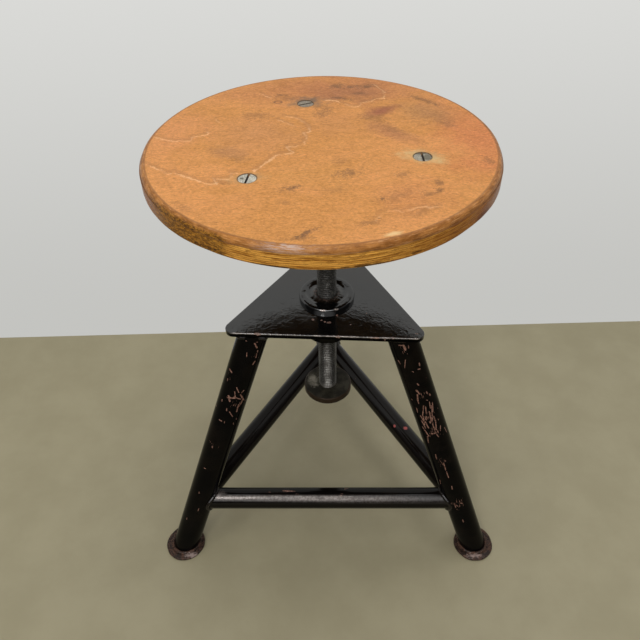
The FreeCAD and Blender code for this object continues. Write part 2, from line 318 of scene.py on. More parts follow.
# %% Enamel: gloss black paint over pinkish primer, rust and bare steel
enamel, given, out = new_group("enamel", ["Color", "Roughness", "Metallic", "Height"], Place=ORIGIN,
                               Chips=0.0, Red=0.0, Bare=0.0, Grime=0.0, Ripple=1.0, Dark=0.0)
thin = cloud(given["Place"], 0.02, 3.0, 0.6)
paint = blend(ramp(thin, 0.45, 0.75), (0.0012, 0.0011, 0.0012), (0.0042, 0.003, 0.0022))
paint = blend(given["Grime"], paint, (0.026, 0.017, 0.011))
primer = cloud(given["Place"], 0.55, 4.0, 0.7)
primer = blend(ramp(primer, 0.36, 0.6), (0.075, 0.036, 0.026), (0.285, 0.155, 0.113))
shade = blend(given["Chips"], paint, primer)
shade = blend(given["Red"], shade, (0.36, 0.085, 0.075))
steel = cloud(given["Place"], 0.35, 5.0, 0.7)
steel = blend(ramp(steel, 0.35, 0.65), (0.17, 0.135, 0.115), (0.42, 0.37, 0.34))
shade = blend(given["Bare"], shade, steel)
gloss = ramp(cloud(given["Place"], 0.06, 5.0, 0.7), 0.35, 0.75, 0.05, 0.14)
gloss = times(given["Chips"], 0.45, gloss)
gloss = times(given["Grime"], 0.35, gloss)
gloss = times(given["Bare"], 0.22, gloss, clamp=True)
wave = cloud(given["Place"], 0.055, 2.0, 0.5)
sag = cloud(given["Place"], 0.19, 2.0, 0.5, 0.8)
peel = cloud(given["Place"], 0.6, 2.0, 0.5)
lift = times(peel, 0.09, times(wave, 0.3))
lift = times(sag, 0.24, lift)
lift = times(lift, given["Ripple"])
lift = times(given["Chips"], -0.45, lift)
lift = times(given["Bare"], -0.2, lift)
feed(out["Color"], shade)
feed(out["Roughness"], gloss)
# where Dark is 1 the paint mirrors nothing: a metal's mirror is as dark as its own color, here black
whole = calc("SUBTRACT", 1.0, calc("MAXIMUM", given["Chips"], given["Bare"]), clamp=True)
mirror = times(given["Dark"], whole)
feed(out["Metallic"], calc("MAXIMUM", times(given["Bare"], 0.35), mirror))
feed(out["Height"], lift)


def painted(name, masks, shine):
    """A black enamel finish. masks(place) names where it is chipped, red, bare or grimy. Shine is how much
    it mirrors, where 0.5 is a plain varnish."""
    finish, shader, place = new_finish(name)
    node = put("ShaderNodeGroup", {"Place": place}, node_tree=enamel)
    for label, value in masks(place).items():
        feed(node.inputs[label], value)
    shader.inputs["IOR"].default_value = 1.5
    shader.inputs["Specular IOR Level"].default_value = shine
    connect(shader, node.outputs[0], node.outputs[1], node.outputs[2], node.outputs[3], 0.22)
    return finish


def patches(place, spots, ragged, soft, grain=0.11):
    """The strongest of several stains: (x, y, z, radius) or (x, y, z, rx, ry, rz)."""
    whole, edge = 0.0, border(place, grain)
    for spot in spots:
        size = spot[3:] if len(spot) == 6 else (spot[3],) * 3
        mask = use(stain, "Mask", Place=place, Border=edge, Centre=spot[:3], Size=size, Ragged=ragged,
                   Soft=soft)
        whole = calc("MAXIMUM", whole, mask)
    return whole


# %% [markdown]
# ## Small tools for meshes
# Pieces are made from bmesh shapes: a profile that is spun round an axis, or a copy of the CAD part with its
# corners broken by a small bevel, because a corner with no radius never catches the light. Weld beads are
# curves with a thickness that swells and shrinks, since that is how a bead is laid. All of them end in one
# helper that turns the mesh into an object, sets smooth and sharp edges, and ties it to its CAD body.

# %% From a bmesh to a piece of the stool
def as_object(name, bm, material):
    """Makes an object with a material out of a bmesh."""
    mesh = bpy.data.meshes.new(name)
    bm.to_mesh(mesh)
    bm.free()
    made = bpy.data.objects.new(name, mesh)
    scene.collection.objects.link(made)
    made.data.materials.append(material)
    return made


def finish_piece(name, bm, body, node_names, material, sharp=32.0):
    """Makes an object of a bmesh, ties it to its body, and lets it stand for CAD nodes."""
    bmesh.ops.recalc_face_normals(bm, faces=bm.faces)
    for face in bm.faces:
        face.smooth = True
    for edge in bm.edges:
        edge.smooth = not (edge.is_manifold and edge.calc_face_angle(0.0) > math.radians(sharp))
    piece = as_object(name, bm, material)
    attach(piece, body)
    if node_names:
        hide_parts(*node_names)
    print(name, "faces:", len(piece.data.polygons))
    return piece


# %% Shapes: spun profiles, and CAD parts with broken corners
def spun(profile, steps, centre=(0, 0, 0)):
    """Spins a profile of (radius, height) points in millimetres round the upright axis."""
    bm = bmesh.new()
    points = [bm.verts.new(Vector((r, 0, z)) * MM) for r, z in profile]
    edges = [bm.edges.new(pair) for pair in zip(points, points[1:])]
    bmesh.ops.spin(bm, geom=points + edges, cent=(0, 0, 0), axis=(0, 0, 1), angle=math.tau, steps=steps,
                   use_merge=True)
    bmesh.ops.remove_doubles(bm, verts=bm.verts, dist=1e-6)
    bmesh.ops.translate(bm, verts=bm.verts, vec=Vector(centre) * MM)
    return bm


def arc(r, z, radius, start, end, steps):
    """Points on an arc of a profile, by angles in degrees from the outward way."""
    turns = [math.radians(start + (end - start) * i / steps) for i in range(steps + 1)]
    return [(r + radius * math.cos(a), z + radius * math.sin(a)) for a in turns]


def joined(node):
    """A copy of a CAD node's mesh with its loose triangles merged and its flat faces made whole."""
    bm = bmesh.new()
    bm.from_mesh(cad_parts[node].data)
    bmesh.ops.remove_doubles(bm, verts=bm.verts, dist=2e-6)
    bmesh.ops.dissolve_limit(bm, angle_limit=math.radians(0.6), verts=bm.verts, edges=bm.edges)
    return bm


def dressed(node, name, body, material, width, segments=2):
    """The CAD node again, with its sharp corners broken."""
    bm = joined(node)
    sharp = [e for e in bm.edges if e.is_manifold and e.calc_face_angle(0.0) > math.radians(40)]
    bmesh.ops.bevel(bm, geom=sharp, offset=width * MM, offset_type="OFFSET", affect="EDGES",
                    segments=segments, profile=0.5, material=-1, clamp_overlap=True)
    return finish_piece(name, bm, body, [node], material)


# %% [markdown]
# ## Room
# A plain pale floor, with a pale wall behind the stool as in the photograph, so that the gloss paint has
# the same things to mirror. The wall only shows to the camera and in reflections, and only from its front,
# so the stool is lit alike from all round. One broad lamp overhead does most of the work, a small one
# sparkles on the gloss paint, and three soft ones fill the sides. Black paint looks black because the room
# that it mirrors is dark, so the world that reflections see is darker than the world that lights the stool.

# %% Floor and wall
def plane(name, size, finish, place=(0, 0, 0), tilt=0.0, turn=0.0):
    """A flat square that isn't part of the stool."""
    at = Matrix.Translation(place) @ Matrix.Rotation(math.radians(turn), 4, "Z")
    bm = bmesh.new()
    bmesh.ops.create_grid(bm, x_segments=1, y_segments=1, size=size,
                          matrix=at @ Matrix.Rotation(math.radians(tilt), 4, "X"))
    sheet = as_object(name, bm, finish)
    return sheet


floor_finish, shader, place = new_finish("plain_floor")
speck = cloud(place, 0.012, 4.0, 0.6)
connect(shader, blend(ramp(speck, 0.3, 0.7), (0.282, 0.246, 0.146), (0.318, 0.279, 0.17)))
shader.inputs["Roughness"].default_value = 0.6
plane("floor", 6.0, floor_finish)

wall_finish = bpy.data.materials.new("plain_wall")
begin(wall_finish)
height = axes_of(put("ShaderNodeTexCoord").outputs["Object"])[2]
# painted light: the wall glows by itself and lights nothing, brighter at the top and darker towards the floor
wall_glow = blend(ramp(height, 0.0, 1.3), (0.55, 0.55, 0.528), (0.9, 0.9, 0.88))
glow = put("ShaderNodeEmission", {"Color": wall_glow, "Strength": 1.0}).outputs[0]
clear = put("ShaderNodeBsdfTransparent").outputs[0]
back = put("ShaderNodeNewGeometry").outputs["Backfacing"]
both = put("ShaderNodeMixShader", {0: back, 1: glow, 2: clear}).outputs[0]
put("ShaderNodeOutputMaterial", {"Surface": both})
wall = plane("wall", 3.0, wall_finish, (0, 0.3183, 3.0), tilt=90, turn=1.75)
wall.visible_diffuse = wall.visible_shadow = wall.visible_transmission = False
print("stage: floor and wall")


# %% Lamps and world
def lamp(name, place, aim, size, power, mirrored=True):
    """A round soft lamp. One that isn't mirrored gives light but leaves no highlight."""
    light = bpy.data.lights.new(name, "AREA")
    light.shape, light.size, light.energy = "DISK", size, power
    holder = bpy.data.objects.new(name, light)
    scene.collection.objects.link(holder)
    turned = (Vector(aim) - Vector(place)).to_track_quat("-Z", "Y").to_matrix().to_4x4()
    holder.matrix_world = Matrix.Translation(place) @ turned
    holder.visible_glossy = mirrored


lamp("overhead", (0.1, 0.25, 2.3), (0, 0, 0.4), 1.6, 15)
lamp("front_spot", (-0.45, -1.3, 1.8), (0, 0, 0.4), 0.36, 7)
lamp("front_fill", (0.1, -2.4, 1.5), (0, 0, 0.3), 2.0, 11, mirrored=False)
lamp("left_fill", (-1.9, -1.3, 1.5), (0, 0, 0.3), 1.2, 9, mirrored=False)
lamp("right_fill", (2.0, 0.9, 1.6), (0, 0, 0.3), 1.2, 7, mirrored=False)

WINDOW = 4.5   # how bright the window is that the gloss paint mirrors
world = bpy.data.worlds.new("world")
scene.world = world
begin(world)
up = axes_of(put("ShaderNodeTexCoord").outputs["Generated"])[2]
light_path = put("ShaderNodeLightPath").outputs
soft = put("ShaderNodeBackground", {"Color": (0.95, 0.97, 1.0, 1), "Strength": 0.42}).outputs[0]
towards = vector("DOT_PRODUCT", put("ShaderNodeTexCoord").outputs["Generated"], (-0.09, -0.66, 0.745))
window = calc("ADD", ramp(up, 0.0, 1.0, 0.04, 0.34), ramp(towards, 0.8, 0.97, 0.0, WINDOW))
room = put("ShaderNodeBackground", {"Color": (1, 1, 1, 1), "Strength": window}).outputs[0]
plain = put("ShaderNodeBackground", {"Color": (0.6, 0.6, 0.58, 1), "Strength": 1.0}).outputs[0]
mixed = put("ShaderNodeMixShader", {0: light_path["Is Glossy Ray"], 1: soft, 2: room}).outputs[0]
mixed = put("ShaderNodeMixShader", {0: light_path["Is Camera Ray"], 1: mixed, 2: plain}).outputs[0]
put("ShaderNodeOutputWorld", {"Surface": mixed})
print("lamps: 5")

# %% [markdown]
# ## Seat: worn plywood
# The seat is a 20 mm plywood disc. Its upper edge is moulded: a quarter round, then a thin ledge. The face
# veneer has gone orange-brown with thin wavy figure lines, dark thumb smudges and bare patches round the
# screws, and the plies show as fine stripes on the side. One material does it all by asking how high and
# how far out a point is.

# %% The seat's finish: the face veneer
FACE_RIM = 164.0   # where the flat face ends and the moulded edge starts
seat_finish, shader, place = new_finish("worn_plywood")
axes = axes_of(place)
out_from = from_spindle(place, (SHIFT, 0, 0))
broad = cloud(stretched(place, 0.6, 1.0, 0.3), 0.016, 4.0, 0.6, 0.8)
face = blend(ramp(broad, 0.35, 0.65), (0.59, 0.256, 0.068), (0.66, 0.286, 0.088))

# broad tones: x, y, half width, half depth, turn in degrees, strength, colour
tones = [
    (10, 128, 175, 62, 0, 0.85, (0.47, 0.185, 0.07)), (150, 10, 66, 130, 8, 0.85, (0.59, 0.205, 0.072)),
    (-66, 24, 66, 52, -20, 0.5, (0.5, 0.225, 0.088)), (-94, -15, 28, 15, -25, 0.55, (0.36, 0.17, 0.072)),
    (60, 72, 34, 15, 36, 0.95, (0.33, 0.115, 0.056)), (66, 22, 44, 17, -42, 0.65, (0.38, 0.155, 0.066)),
    (100, 66, 48, 38, -30, 0.65, (0.4, 0.195, 0.074)), (28, 118, 54, 24, 0, 0.62, (0.34, 0.14, 0.064)),
    (-20, -60, 80, 40, 10, 0.3, (0.62, 0.29, 0.08)), (-150, 30, 50, 80, 0, 0.6, (0.68, 0.285, 0.11)),
    (75, -100, 60, 40, 35, 0.5, (0.56, 0.22, 0.078)), (10, 45, 60, 34, 0, 0.45, (0.5, 0.22, 0.08)),
]
coarse, medium, fine_edge = border(place, 0.03), border(place, 0.11), border(place, 0.16)
for x, y, wide, deep, angle, strength, tint in tones:
    face = stained(place, coarse, face, (x, y, wide, deep, angle, strength, 0.45), tint)
print("broad tones:", len(tones))

# %% Grain of the veneer
fibre = cloud(stretched(place, 0.62, 1.0, 1.0), 0.56, 4.0, 0.7, 0.4)
face = blend(1.0, face, ramp(fibre, 0.32, 0.68, 0.82, 1.12), "MULTIPLY")
curl = cloud(stretched(place, 0.6, 1.0, 1.0, 7.0), 0.13, 5.0, 0.7, 1.6)
face = blend(1.0, face, ramp(curl, 0.35, 0.66, 1.05, 0.88), "MULTIPLY")
tick = cloud(stretched(place, 0.6, 1.0, 1.0, 2.0), 0.55, 3.0, 0.65, 0.3)
face = blend(ramp(tick, 0.6, 0.7, 0.0, 0.55), face, (0.24, 0.1, 0.04))
face = blend(ramp(tick, 0.4, 0.3, 0.0, 0.4), face, (0.8, 0.43, 0.19))

# %% Figure lines
# pale lines of the rotary-cut veneer, each through a few points: strength, width, points
warp = {"Vector": place, "Scale": 0.16, "Detail": 5.0, "Roughness": 0.8}
warp = put("ShaderNodeTexNoise", warp).outputs["Color"]
warp = vector("SUBTRACT", warp, (0.5, 0.5, 0.5))
shaken = vector("ADD", place, vector("MULTIPLY", warp, (11, 11, 0)))
figure = [
    (0.7, 1.5, [(-170, 19), (-152, 10), (-145, 8), (-128, 8), (-128, 16), (-114, 21), (-115, 28)]),
    (0.8, 1.6, [(-164, -36), (-147, -48), (-139, -55), (-134, -52), (-117, -63), (-108, -69), (-99, -73),
                (-93, -73), (-97, -64), (-83, -65), (-81, -60), (-84, -54), (-78, -55)]),
    (0.75, 1.5, [(-48, 52), (-40, 46), (-32, 39)]),
    (0.75, 1.9, [(-42, 60), (-31, 57), (-23, 50), (-18, 40), (-14, 25), (-20, 22), (-18, 10), (-19, 0),
                 (-28, -6), (-36, -5), (-30, -18), (-44, -22), (-54, -38), (-63, -51)]),
    (0.7, 1.6, [(0, 99), (9, 97), (19, 90), (28, 81), (35, 82), (37, 91), (49, 94), (54, 102), (63, 101),
                (63, 118), (56, 136), (47, 142)]),
    (0.55, 1.7, [(41, -131), (46, -121), (56, -116), (63, -119), (75, -113), (96, -112)]),
    (0.5, 1.4, [(-111, 55), (-106, 47)]), (0.65, 1.4, [(-69, 117), (-62, 108), (-58, 106)]),
]
broken = ramp(cloud(place, 0.09, 3.0, 0.6), 0.38, 0.58, 0.12, 1.0)
for strength, width, points in figure:
    line = drawn(after(shaken, face), points, FACE, width)
    face = tinted(face, line, times(broken, 0.85 * strength), (0.9, 0.53, 0.26))
    below = after(vector("ADD", shaken, (1.0, -4.0, 0.0)), face)
    shade = drawn(below, points, FACE, width * 2.4)
    face = tinted(face, shade, 0.45 * strength, (0.3, 0.13, 0.055))
print("figure lines:", len(figure))

# %% Dirt on the seat
# dark smudges: x, y, half width, half depth, turn in degrees, strength
smudges = [
    (21, -56, 17, 9, 20, 0.5), (14, -34, 12, 9, 0, 0.22), (-30, -82, 12, 6, 25, 0.55),
    (-24, -77, 7, 4, 10, 0.5), (-33, -104, 9, 5, 0, 0.22), (-13, -147, 4, 14, -45, 0.62),
    (-18, -155, 18, 5, 0, 0.35), (14, 135, 13, 9, 0, 0.55), (26, 132, 8, 8, 0, 0.6),
    (45, 134, 15, 8, 0, 0.55), (16, 103, 13, 6, -15, 0.55), (36, 115, 12, 6, 0, 0.4),
    (104, 96, 34, 6, -42, 0.5), (-47, 113, 9, 5, 0, 0.45), (-3, 67, 14, 12, 40, 0.42),
    (-2, 82, 20, 7, -20, 0.3), (98, -74, 6, 7, 0, 0.45), (97, -86, 5, 5, 0, 0.55),
    (88, -92, 11, 5, 20, 0.38), (68, -59, 9, 8, 0, 0.3), (48, -98, 3, 5, 0, 0.6),
    (36, -134, 14, 6, 15, 0.32), (147, -37, 7, 10, 0, 0.35), (9, -84, 16, 8, 0, 0.18),
    (-69, 62, 22, 12, 0, 0.28), (-80, -28, 16, 8, -20, 0.25), (60, -95, 26, 10, 30, 0.2),
    (118, 40, 16, 8, -40, 0.25), (-115, -110, 18, 7, -40, 0.22), (80, -118, 22, 7, 35, 0.22),
    (-40, 105, 20, 8, 0, 0.25), (-88, -70, 9, 6, 0, 0.25), (50, 54, 22, 13, -35, 0.3),
    (68, 27, 24, 8, -30, 0.2), (115, 52, 24, 12, -50, 0.16), (37, 98, 24, 9, 0, 0.18)]
DIRTY = 1.25   # how much stronger all smudges are drawn than the table says
speckled = times(border(place, 0.55), 1.1, fine_edge)
for *spot, strength in smudges:
    face = stained(place, speckled, face, (*spot, min(1.0, strength * DIRTY), 0.75), (0.145, 0.075, 0.04))
print("smudges:", len(smudges))

# %% Wood and dirt round the screws
screw_places = [(-20.92, 90.62), (-68.02, -63.43), (88.94, -27.19)]
screw_dirt = [
    # pale wood: half width, half depth, turn, strength, ragged; dirt: how far off in x and y, then the same
    ((30, 14, 0, 0.1, 0.4), (2, 5, 30, 17, 8, 0.95, 0.6)),
    ((24, 14, 10, 0.3, 0.4), (0, 0, 16, 12, 10, 0.45, 0.5)),
    ((31, 16, -25, 1.0, 0.5), (3, 3, 17, 13, 10, 0.35, 0.4))]
for (x, y), (pale, dirt) in zip(screw_places, screw_dirt):
    face = stained(place, medium, face, (x, y, *pale), (0.6, 0.42, 0.19))
    face = stained(place, medium, face, (x + dirt[0], y + dirt[1], *dirt[2:]), (0.185, 0.115, 0.072))
    from_screw = vector("DISTANCE", after(place, face), (x, y, FACE - 1))
    face = blend(ramp(from_screw, 8.5, 9.9, 0.8, 0.0), face, (0.13, 0.085, 0.05))
print("screws:", len(screw_places))

# a small dark ring beside the rear screw, and a pale spot at the front
arm = vector("SUBTRACT", after(place, face), (-50, 95, FACE))
from_dent = vector("LENGTH", vector("DIVIDE", arm, (4.6, 3.4, 20)))
dent = near(from_dent, 0.85, 0.05, 0.4, 0.75)
face = blend(dent, face, (0.16, 0.075, 0.04))
face = stained(place, medium, face, (53, -150, 12, 4, 20, 0.8, 0.5), (0.8, 0.55, 0.26))

# %% The moulded edge
rub = cloud(stretched(place, 0.5, 0.5, 1.0), 0.16, 5.0, 0.7)
mould = blend(ramp(rub, 0.35, 0.65), (0.25, 0.092, 0.018), (0.45, 0.185, 0.045))
hair = cloud(stretched(place, 0.07, 0.07, 1.0), 1.5, 4.0, 0.65)
mould = blend(ramp(hair, 0.5, 0.64, 0.0, 0.55), mould, (0.12, 0.044, 0.01))
mould = blend(ramp(hair, 0.46, 0.34, 0.0, 0.55), mould, (0.6, 0.32, 0.14))

# %% The plies on the side
ply = cloud(stretched(place, 0.045, 0.045, 1.0), 0.8, 4.0, 0.7)
side = blend(ramp(ply, 0.36, 0.62), (0.27, 0.09, 0.006), (0.84, 0.41, 0.075))
flecks = cloud(stretched(place, 0.16, 0.16, 1.0, 5.0), 0.95, 5.0, 0.75, 0.6)
side = blend(ramp(flecks, 0.55, 0.64, 0.0, 0.8), side, (0.085, 0.028, 0.004))
side = blend(ramp(flecks, 0.42, 0.34, 0.0, 0.75), side, (0.95, 0.52, 0.08))
plies = times(ply, 3.0, times(axes[2], 3.3))
ply_dark = ramp(calc("SINE", plies), 0.55, 0.95)
side = tinted(side, ply_dark, 0.62, (0.125, 0.05, 0.012))
burnt = [(-92, -141, 519, 32, 24, 3.6), (-118, -120, 520, 16, 14, 3.0), (108, -133, 523, 9, 9, 3.0),
         (74, -153, 520, 8, 8, 2.2), (136, -100, 520, 20, 20, 5.0), (30, -166, 518, 30, 10, 1.6),
         (-40, -165, 517.5, 30, 10, 1.4)]
side = tinted(side, patches(place, burnt, 0.7, 0.7, 0.12), 0.85, (0.03, 0.014, 0.006))
# painted shade: the side of the board is darker and redder the further it is from the front
side_shade = ramp(calc("ABSOLUTE", calc("SUBTRACT", axes[0], SHIFT)), 40, 140, 0.0, 0.7)
side = blend(side_shade, side, (0.19, 0.038, 0.001))
print("burnt places:", len(burnt))

# %% A painted highlight on the front of the edge, and where the edge is worn
# painted highlight: a whitish, streaky patch on the front of the moulded edge
wear_and_highlight = stained(place, medium, (0.0, 0.0, 0.0), (-32, -165, 54, 13, 8, 1.0, 0.35), (1.0, 1.0, 1.0))
wear_and_highlight = put("ShaderNodeSeparateColor", {0: wear_and_highlight}).outputs[0]
wear_and_highlight = times(wear_and_highlight, ramp(hair, 0.42, 0.6, 0.0, 0.8))
mould = blend(wear_and_highlight, mould, (0.58, 0.43, 0.35))
# on the left of the front the edge is worn down to ochre wood with dark specks
worn_left = times(ramp(axes[0], -74, -82), ramp(axes[0], -156, -136))
worn_left = times(worn_left, ramp(axes[1], -60, -85))
specks = cloud(stretched(after(place, side), 0.4, 0.4, 1.0, 5.0), 0.75, 5.0, 0.75, 0.5)
ochre = blend(ramp(specks, 0.42, 0.6), (0.05, 0.02, 0.006), (0.43, 0.19, 0.022))
side = tinted(side, worn_left, 0.75, ochre)
lower = ramp(times(rub, 3.0, axes[2]), 537.0, 534.0)
mould = blend(times(worn_left, times(lower, 0.85)), mould, ochre)

# %% Face, edge, side and underside in one finish
under = blend(ramp(broad, 0.3, 0.7), (0.17, 0.095, 0.045), (0.25, 0.15, 0.075))
under = blend(ramp(fibre, 0.45, 0.75, 0.0, 0.5), under, (0.09, 0.05, 0.022))
ragged = times(rub, 5.0, out_from)
on_mould = ramp(ragged, 165.2, 168.0)
color = blend(on_mould, face, mould)
crease = near(out_from, FACE_RIM + 0.2, 0.2, 1.3, 0.45)
color = blend(crease, color, (0.19, 0.085, 0.035))
on_side = ramp(axes[2], 531.1, 530.3)
color = blend(on_side, color, side)
ledge = near(axes[2], 530.7, 0.2, 0.6, 0.6)
color = blend(ledge, color, (0.06, 0.026, 0.01))
is_under = ramp(axes[2], SEAT_UNDER + 0.6, SEAT_UNDER + 0.1)
color = blend(is_under, color, under)

rough = ramp(curl, 0.3, 0.7, 0.52, 0.68)
rough = times(on_mould, -0.26, rough)
relief = times(fibre, 0.5, times(curl, 0.5))
relief = times(calc("ADD", hair, ply), times(on_mould, 1.3), relief)
shader.inputs["Specular IOR Level"].default_value = 0.13
connect(shader, color, rough, None, relief, 0.14)

# %% [markdown]
# The board itself is a profile spun round the upright axis. The flat faces on top and below are filled in one
# go between the outer ring and the rims of the three screw holes, which a spin can't make. After that the rim
# is worn a little out of round, because a seat that has been knocked about is never a true circle.

# %% The seat board
UNDER_RIM = 168.0
profile = arc(FACE_RIM, 531, 5, 90, 0, 8)[:-1] + [(168.98, 531.05), (169.2, 530.82), (169.75, 530.72)]
profile += [(SEAT_RIM, z) for z in (530.4, 527, 523, 518.2)] + arc(UNDER_RIM, 518, 2, 0, -90, 4)
profile[0] = (FACE_RIM, FACE)
bm = spun(profile, 288, (SHIFT, 0, 0))


def rim_of(bm, radius, z, centre):
    """The edges of a ring of points at one height and radius."""
    def on(v):
        r = math.hypot(v.co.x - centre[0] * MM, v.co.y - centre[1] * MM)
        return abs(v.co.z - z * MM) < 1e-5 and abs(r - radius * MM) < 2e-5
    return [e for e in bm.edges if on(e.verts[0]) and on(e.verts[1])]


rims = {z: rim_of(bm, radius, z, (SHIFT, 0)) for radius, z in ((FACE_RIM, FACE), (UNDER_RIM, SEAT_UNDER))}
for x, y in screw_places:
    before = None
    for radius, z in ((8.5, FACE), (8.5, 534.9), (4.3, 530.7), (4.3, SEAT_UNDER)):
        at = Matrix.Translation(Vector((x, y, z)) * MM)
        bmesh.ops.create_circle(bm, cap_ends=False, segments=48, radius=radius * MM, matrix=at)
        ring = rim_of(bm, radius, z, (x, y))
        if before:
            bmesh.ops.bridge_loops(bm, edges=before + ring)
        if z in rims:
            rims[z] = rims[z] + ring
        before = ring
for ring in rims.values():
    bmesh.ops.triangle_fill(bm, edges=ring, use_beauty=True, use_dissolve=False)

# %% Wear of the seat's rim
# knocked places: at which angle, how wide in degrees, how deep
FLATS = [(-42, 10, 0.9), (-122, 9, 0.8), (-6, 9, 0.5), (158, 12, 0.6), (60, 14, 0.6), (250, 6, 0.4)]
for v in bm.verts:
    arm = Vector((v.co.x - SHIFT * MM, v.co.y, 0))
    r = arm.length
    if r < 0.16:
        continue
    azimuth = math.degrees(math.atan2(arm.y, arm.x))
    loss = 0.25 + 0.25 * noise.noise(Vector((v.co.x, v.co.y, 0)) * 22)
    for at, width, depth in FLATS:
        away = (azimuth - at + 180) % 360 - 180
        loss += depth * math.exp(-(away / width) ** 2)
    if v.co.z * 1000 < 532 and r > 0.1685:
        loss += 0.28 * max(0.0, noise.noise(Vector((v.co.x * 70, v.co.y * 70, v.co.z * 260))))
    v.co -= arm * (loss * MM / r)
finish_piece("seat_board_worn", bm, "seat", ["seat_board"], seat_finish, sharp=38)

# %% [markdown]
# ## Seat screws
# Three slotted countersunk screws, polished by trousers and dulled by dirt: bright in the middle, dark in the
# slot and round the rim. The CAD part has the right slots, so a copy of it with broken corners is enough.

# %% Screws in the seat
screw_finish, shader, place = new_finish("worn_screw_steel")
scuff = cloud(stretched(place, 1.0, 0.35, 1.0), 0.8, 5.0, 0.7)
color = blend(ramp(scuff, 0.35, 0.65), (0.36, 0.34, 0.28), (0.7, 0.66, 0.56))
(rear_x, rear_y), (left_x, left_y), (right_x, right_y) = screw_places
marks = [(left_x - 4.6, left_y + 0.4, FACE, 2.6, 2.2, 9), (right_x + 4.6, right_y - 0.5, FACE, 5.6, 7.5, 9),
         (right_x - 1.5, right_y + 6.5, FACE, 6.5, 2.4, 9)]
dark = patches(place, marks, 0.35, 0.5, 0.35)
color = tinted(color, dark, 0.88, (0.12, 0.105, 0.075))
dull = patches(place, [(right_x, right_y, FACE, 13)], 0.2, 0.3)
color = tinted(color, dull, 0.5, (0.19, 0.165, 0.115))
buried = patches(place, [(rear_x, rear_y, FACE, 13)], 0.2, 0.3)
color = tinted(color, buried, 0.8, (0.15, 0.105, 0.06))
height = axes_of(place)[2]
depth = ramp(height, 535.4, 534.9)
color = blend(depth, color, (0.03, 0.02, 0.014))
rough = ramp(scuff, 0.3, 0.7, 0.5, 0.34)
metal = times(buried, -0.55, ramp(depth, 0.0, 1.0, 0.85, 0.15), clamp=True)
connect(shader, color, rough, metal, scuff, 0.06)
dressed("seat_screws", "seat_screws_worn", "seat", screw_finish, 0.25, 3)

# %% [markdown]
# ## Spindle
# The spindle is a 22 mm screw with a 3 mm pitch. A picture of rings would not turn and climb as a thread
# does, so the thread is real: a profile one pitch high is spun 106 times while it climbs, the turns are
# merged, and the ends are cut flat. Above the nut it is caked with old grease and paint, below it is barer
# and brighter.

# %% The spindle's finish
spindle_finish, shader, place = new_finish("greasy_thread")
axes = axes_of(place)
out_from = from_spindle(place)
crest = ramp(out_from, 9.9, 11.0)
patchy = cloud(stretched(place, 1.0, 1.0, 0.5), 0.12, 5.0, 0.7)
bright = blend(ramp(patchy, 0.3, 0.7), (0.03, 0.028, 0.025), (0.14, 0.136, 0.126))
bright = blend(crest, (0.03, 0.027, 0.023), bright)
cake = cloud(place, 0.42, 6.0, 0.75)
grease = blend(ramp(cake, 0.38, 0.62), (0.01, 0.009, 0.008), (0.062, 0.058, 0.05))
grease = blend(ramp(cake, 0.6, 0.7, 0.0, 0.8), grease, (0.34, 0.32, 0.28))
above = ramp(times(patchy, 14.0, axes[2]), 346, 356)
color = blend(above, bright, grease)
foot = ramp(times(patchy, 5.0, axes[2]), 209.5, 214.0, 1.0, 0.0)
color = blend(foot, color, (0.055, 0.048, 0.038))
rough = times(above, 0.1, ramp(patchy, 0.3, 0.7, 0.42, 0.28))
metal = times(foot, -0.7, ramp(above, 0.0, 1.0, 0.9, 0.45), clamp=True)
connect(shader, color, rough, metal, cake, 0.35)

# %% The thread
PITCH, TURNS, PER_TURN = 3.0, 106, 44
THREAD_FOOT, THREAD_TOP = 204.0, 509.9
bm = bmesh.new()
section = ((9.45, 197.0), (9.45, 197.5), (10.85, 198.25), (11, 198.5), (11, 198.9), (10.85, 199.15),
           (9.45, 200.0))
points = [bm.verts.new(Vector((r, 0, z)) * MM) for r, z in section]
edges = [bm.edges.new(pair) for pair in zip(points, points[1:])]
bmesh.ops.spin(bm, geom=points + edges, cent=(0, 0, 0), axis=(0, 0, 1), dvec=(0, 0, PITCH * MM / PER_TURN),
               angle=math.tau, steps=PER_TURN, use_merge=False)
one_turn = bpy.data.meshes.new("one_turn")
bm.to_mesh(one_turn)
for turn in range(1, TURNS):
    one_turn.transform(Matrix.Translation((0, 0, PITCH * MM)))
    bm.from_mesh(one_turn)
bpy.data.meshes.remove(one_turn)
bmesh.ops.remove_doubles(bm, verts=bm.verts, dist=2e-5)
for z, way in ((THREAD_FOOT, -1), (THREAD_TOP, 1)):
    whole = bm.verts[:] + bm.edges[:] + bm.faces[:]
    cut = bmesh.ops.bisect_plane(bm, geom=whole, dist=1e-7, plane_co=(0, 0, z * MM), plane_no=(0, 0, way),
                                 clear_outer=True)
    rim = [e for e in cut["geom_cut"] if isinstance(e, bmesh.types.BMEdge)]
    bmesh.ops.edgeloop_fill(bm, edges=rim)

# %% Old grease above the nut
# it fills the grooves and leaves dents in the crests
for v in bm.verts:
    r = math.hypot(v.co.x, v.co.y)
    if v.co.z > 0.352 and r > 0.009:
        lump = noise.noise(v.co * 300) * 0.45 + noise.noise(v.co * 900) * 0.2
        filled = min(0.0109, max(0.0096, r + (0.25 + lump) * 0.0007)) / r
        grow = filled if r < 0.0104 else 1 - max(0, lump) * 0.05
        v.co.x, v.co.y = v.co.x * grow, v.co.y * grow
thread = finish_piece("spindle_thread", bm, "seat", [], spindle_finish, sharp=50)

# %% The turned tip under the thread
bm = spun([(0, 178.7), (6.2, 178.7), (7, 179.5), (7, 204.2), (0, 204.2)], 48)
finish_piece("spindle_tip", bm, "seat", [], spindle_finish)
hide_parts("spindle")
